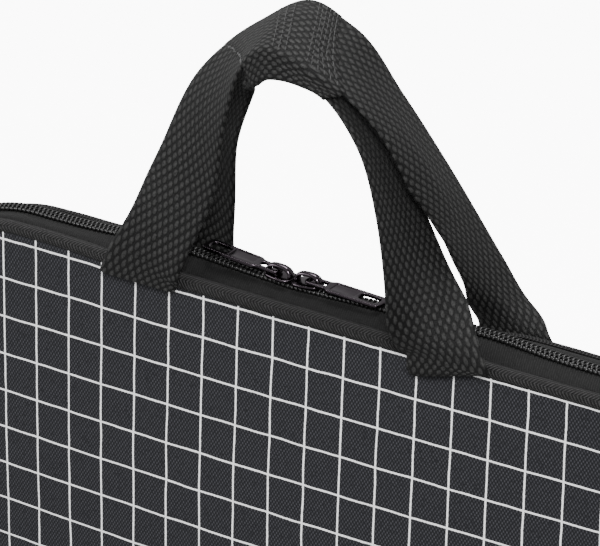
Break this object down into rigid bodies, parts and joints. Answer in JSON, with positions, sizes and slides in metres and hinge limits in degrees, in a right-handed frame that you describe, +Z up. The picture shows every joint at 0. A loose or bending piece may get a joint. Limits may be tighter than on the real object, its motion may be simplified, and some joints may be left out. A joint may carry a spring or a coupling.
{
  "type": "portfolio case",
  "caption": "Soft padded portfolio case with grid-printed panels, a two-way coil zipper round three sides and webbing carrying handles joined by a grip wrap.",
  "frame": {"origin": "on the surface the case stands on, under the middle of the case", "axes": "+X along the case's width to its right, +Y from its front panel to its back panel, +Z up"},
  "size_m": [0.3746, 0.0513, 0.3699],
  "materials": {
    "printed_oxford": "charcoal coated oxford cloth with a thin white grid print",
    "gusset_oxford": "plain charcoal coated oxford cloth",
    "foam": "thin closed-cell foam sheet",
    "lining_polyester": "smooth woven polyester",
    "binding": "black herringbone tape, folded over the seam",
    "stiffener": "polyethylene sheet strip",
    "zipper_tape": "black fine twill",
    "zipper_coil": "black nylon coil, semi-gloss",
    "webbing": "black polypropylene webbing",
    "black_nickel": "black nickel plated zinc, glossy"
  },
  "bodies": {
    "back_half": {"back_cover": "printed_oxford", "back_padding": "foam", "back_lining": "lining_polyester", "back_binding": "binding", "bottom_binding": "binding", "gusset": "gusset_oxford", "gusset_insert": "stiffener", "gusset_lining": "lining_polyester", "back_tape": "zipper_tape", "back_coil": "zipper_coil", "back_stop_left": "black_nickel", "back_stop_right": "black_nickel", "zipper_end_tab_left": "gusset_oxford", "zipper_end_tab_right": "gusset_oxford", "back_strap_tail_left": "webbing", "back_strap_tail_right": "webbing"},
    "front_half": {"front_cover": "printed_oxford", "front_padding": "foam", "front_lining": "lining_polyester", "front_binding": "binding", "front_tape": "zipper_tape", "front_coil": "zipper_coil", "front_stop_left": "black_nickel", "front_stop_right": "black_nickel", "front_strap_tail_left": "webbing", "front_strap_tail_right": "webbing"},
    "handle_front": {"front_strap_left": "webbing", "front_strap_right": "webbing", "grip_wrap": "webbing"},
    "handle_back": {"back_strap": "webbing"},
    "slider_left": {"slider_left_body": "black_nickel", "slider_left_crown": "black_nickel"},
    "slider_right": {"slider_right_body": "black_nickel", "slider_right_crown": "black_nickel"},
    "pull_left": {"pull_left": "black_nickel"},
    "pull_right": {"pull_right": "black_nickel"}
  },
  "joints": [
    {"name": "case_open", "type": "hinge", "parent": "back_half", "child": "front_half", "pos_m": [0, -0.0147, 0.005], "axis": [1, 0, 0], "range_deg": [0, 180]},
    {"name": "handle_front_fold", "type": "hinge", "parent": "front_half", "child": "handle_front", "pos_m": [0, -0.0177, 0.2568], "axis": [1, 0, 0], "range_deg": [0, 165]},
    {"name": "handle_back_fold", "type": "hinge", "parent": "back_half", "child": "handle_back", "pos_m": [0, 0.0177, 0.2568], "axis": [-1, 0, 0], "range_deg": [0, 165]},
    {"name": "slider_left_slide", "type": "slide", "parent": "back_half", "child": "slider_left", "axis": [-0.9988, 0, 0.0487], "range_m": [0, 0.05]},
    {"name": "slider_right_slide", "type": "slide", "parent": "back_half", "child": "slider_right", "axis": [0.9993, 0, 0.0379], "range_m": [0, 0.045]},
    {"name": "pull_left_lift", "type": "hinge", "parent": "slider_left", "child": "pull_left", "pos_m": [-0.01568, 0, 0.26801], "axis": [0, 1, 0], "range_deg": [0, 85]},
    {"name": "pull_right_lift", "type": "hinge", "parent": "slider_right", "child": "pull_right", "pos_m": [-0.00307, 0, 0.26794], "axis": [0, -1, 0], "range_deg": [0, 90]}
  ]
}
